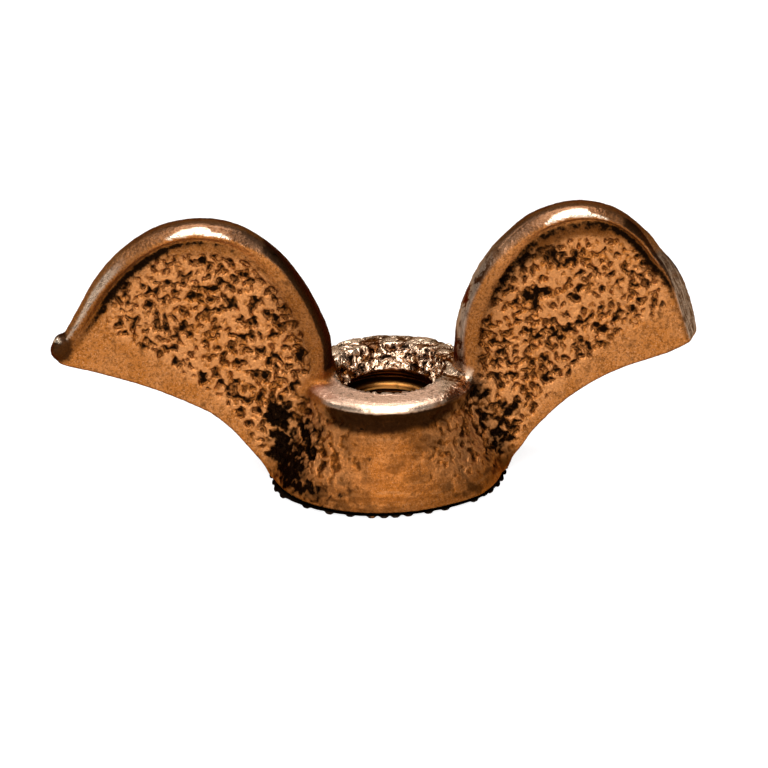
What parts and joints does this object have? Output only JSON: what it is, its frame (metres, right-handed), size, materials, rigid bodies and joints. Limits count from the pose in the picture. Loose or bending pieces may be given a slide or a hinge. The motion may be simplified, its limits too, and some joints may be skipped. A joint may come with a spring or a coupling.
{
  "type": "wing nut",
  "caption": "Cast wing nut with beaded wings, a flared hub, a tapped hole and a captive serrated washer underneath.",
  "frame": {"origin": "on the thread axis, in the plane of the washer's tooth tips, which is the plane that bears on the work", "axes": "+Z along the thread axis, away from the work; +X along the wings, towards the wing whose tip is ground flat"},
  "size_m": [0.0376, 0.015, 0.016],
  "materials": {
    "cast_bronze": "antiqued cast bronze: orange-brown faces, black patina in the casting pits and corners, rubbed bright on the beaded edges and the hub's rim",
    "washer_metal": "blackened, with the brown base metal showing along the tooth edges"
  },
  "bodies": {
    "nut": {"nut_casting": "cast_bronze"},
    "washer": {"serrated_washer": "washer_metal"}
  },
  "joints": [
    {"name": "washer_spin", "type": "hinge", "parent": "nut", "child": "washer", "pos_m": [-0.00025, 0, 0], "axis": [0, 0, 1], "continuous": true}
  ]
}
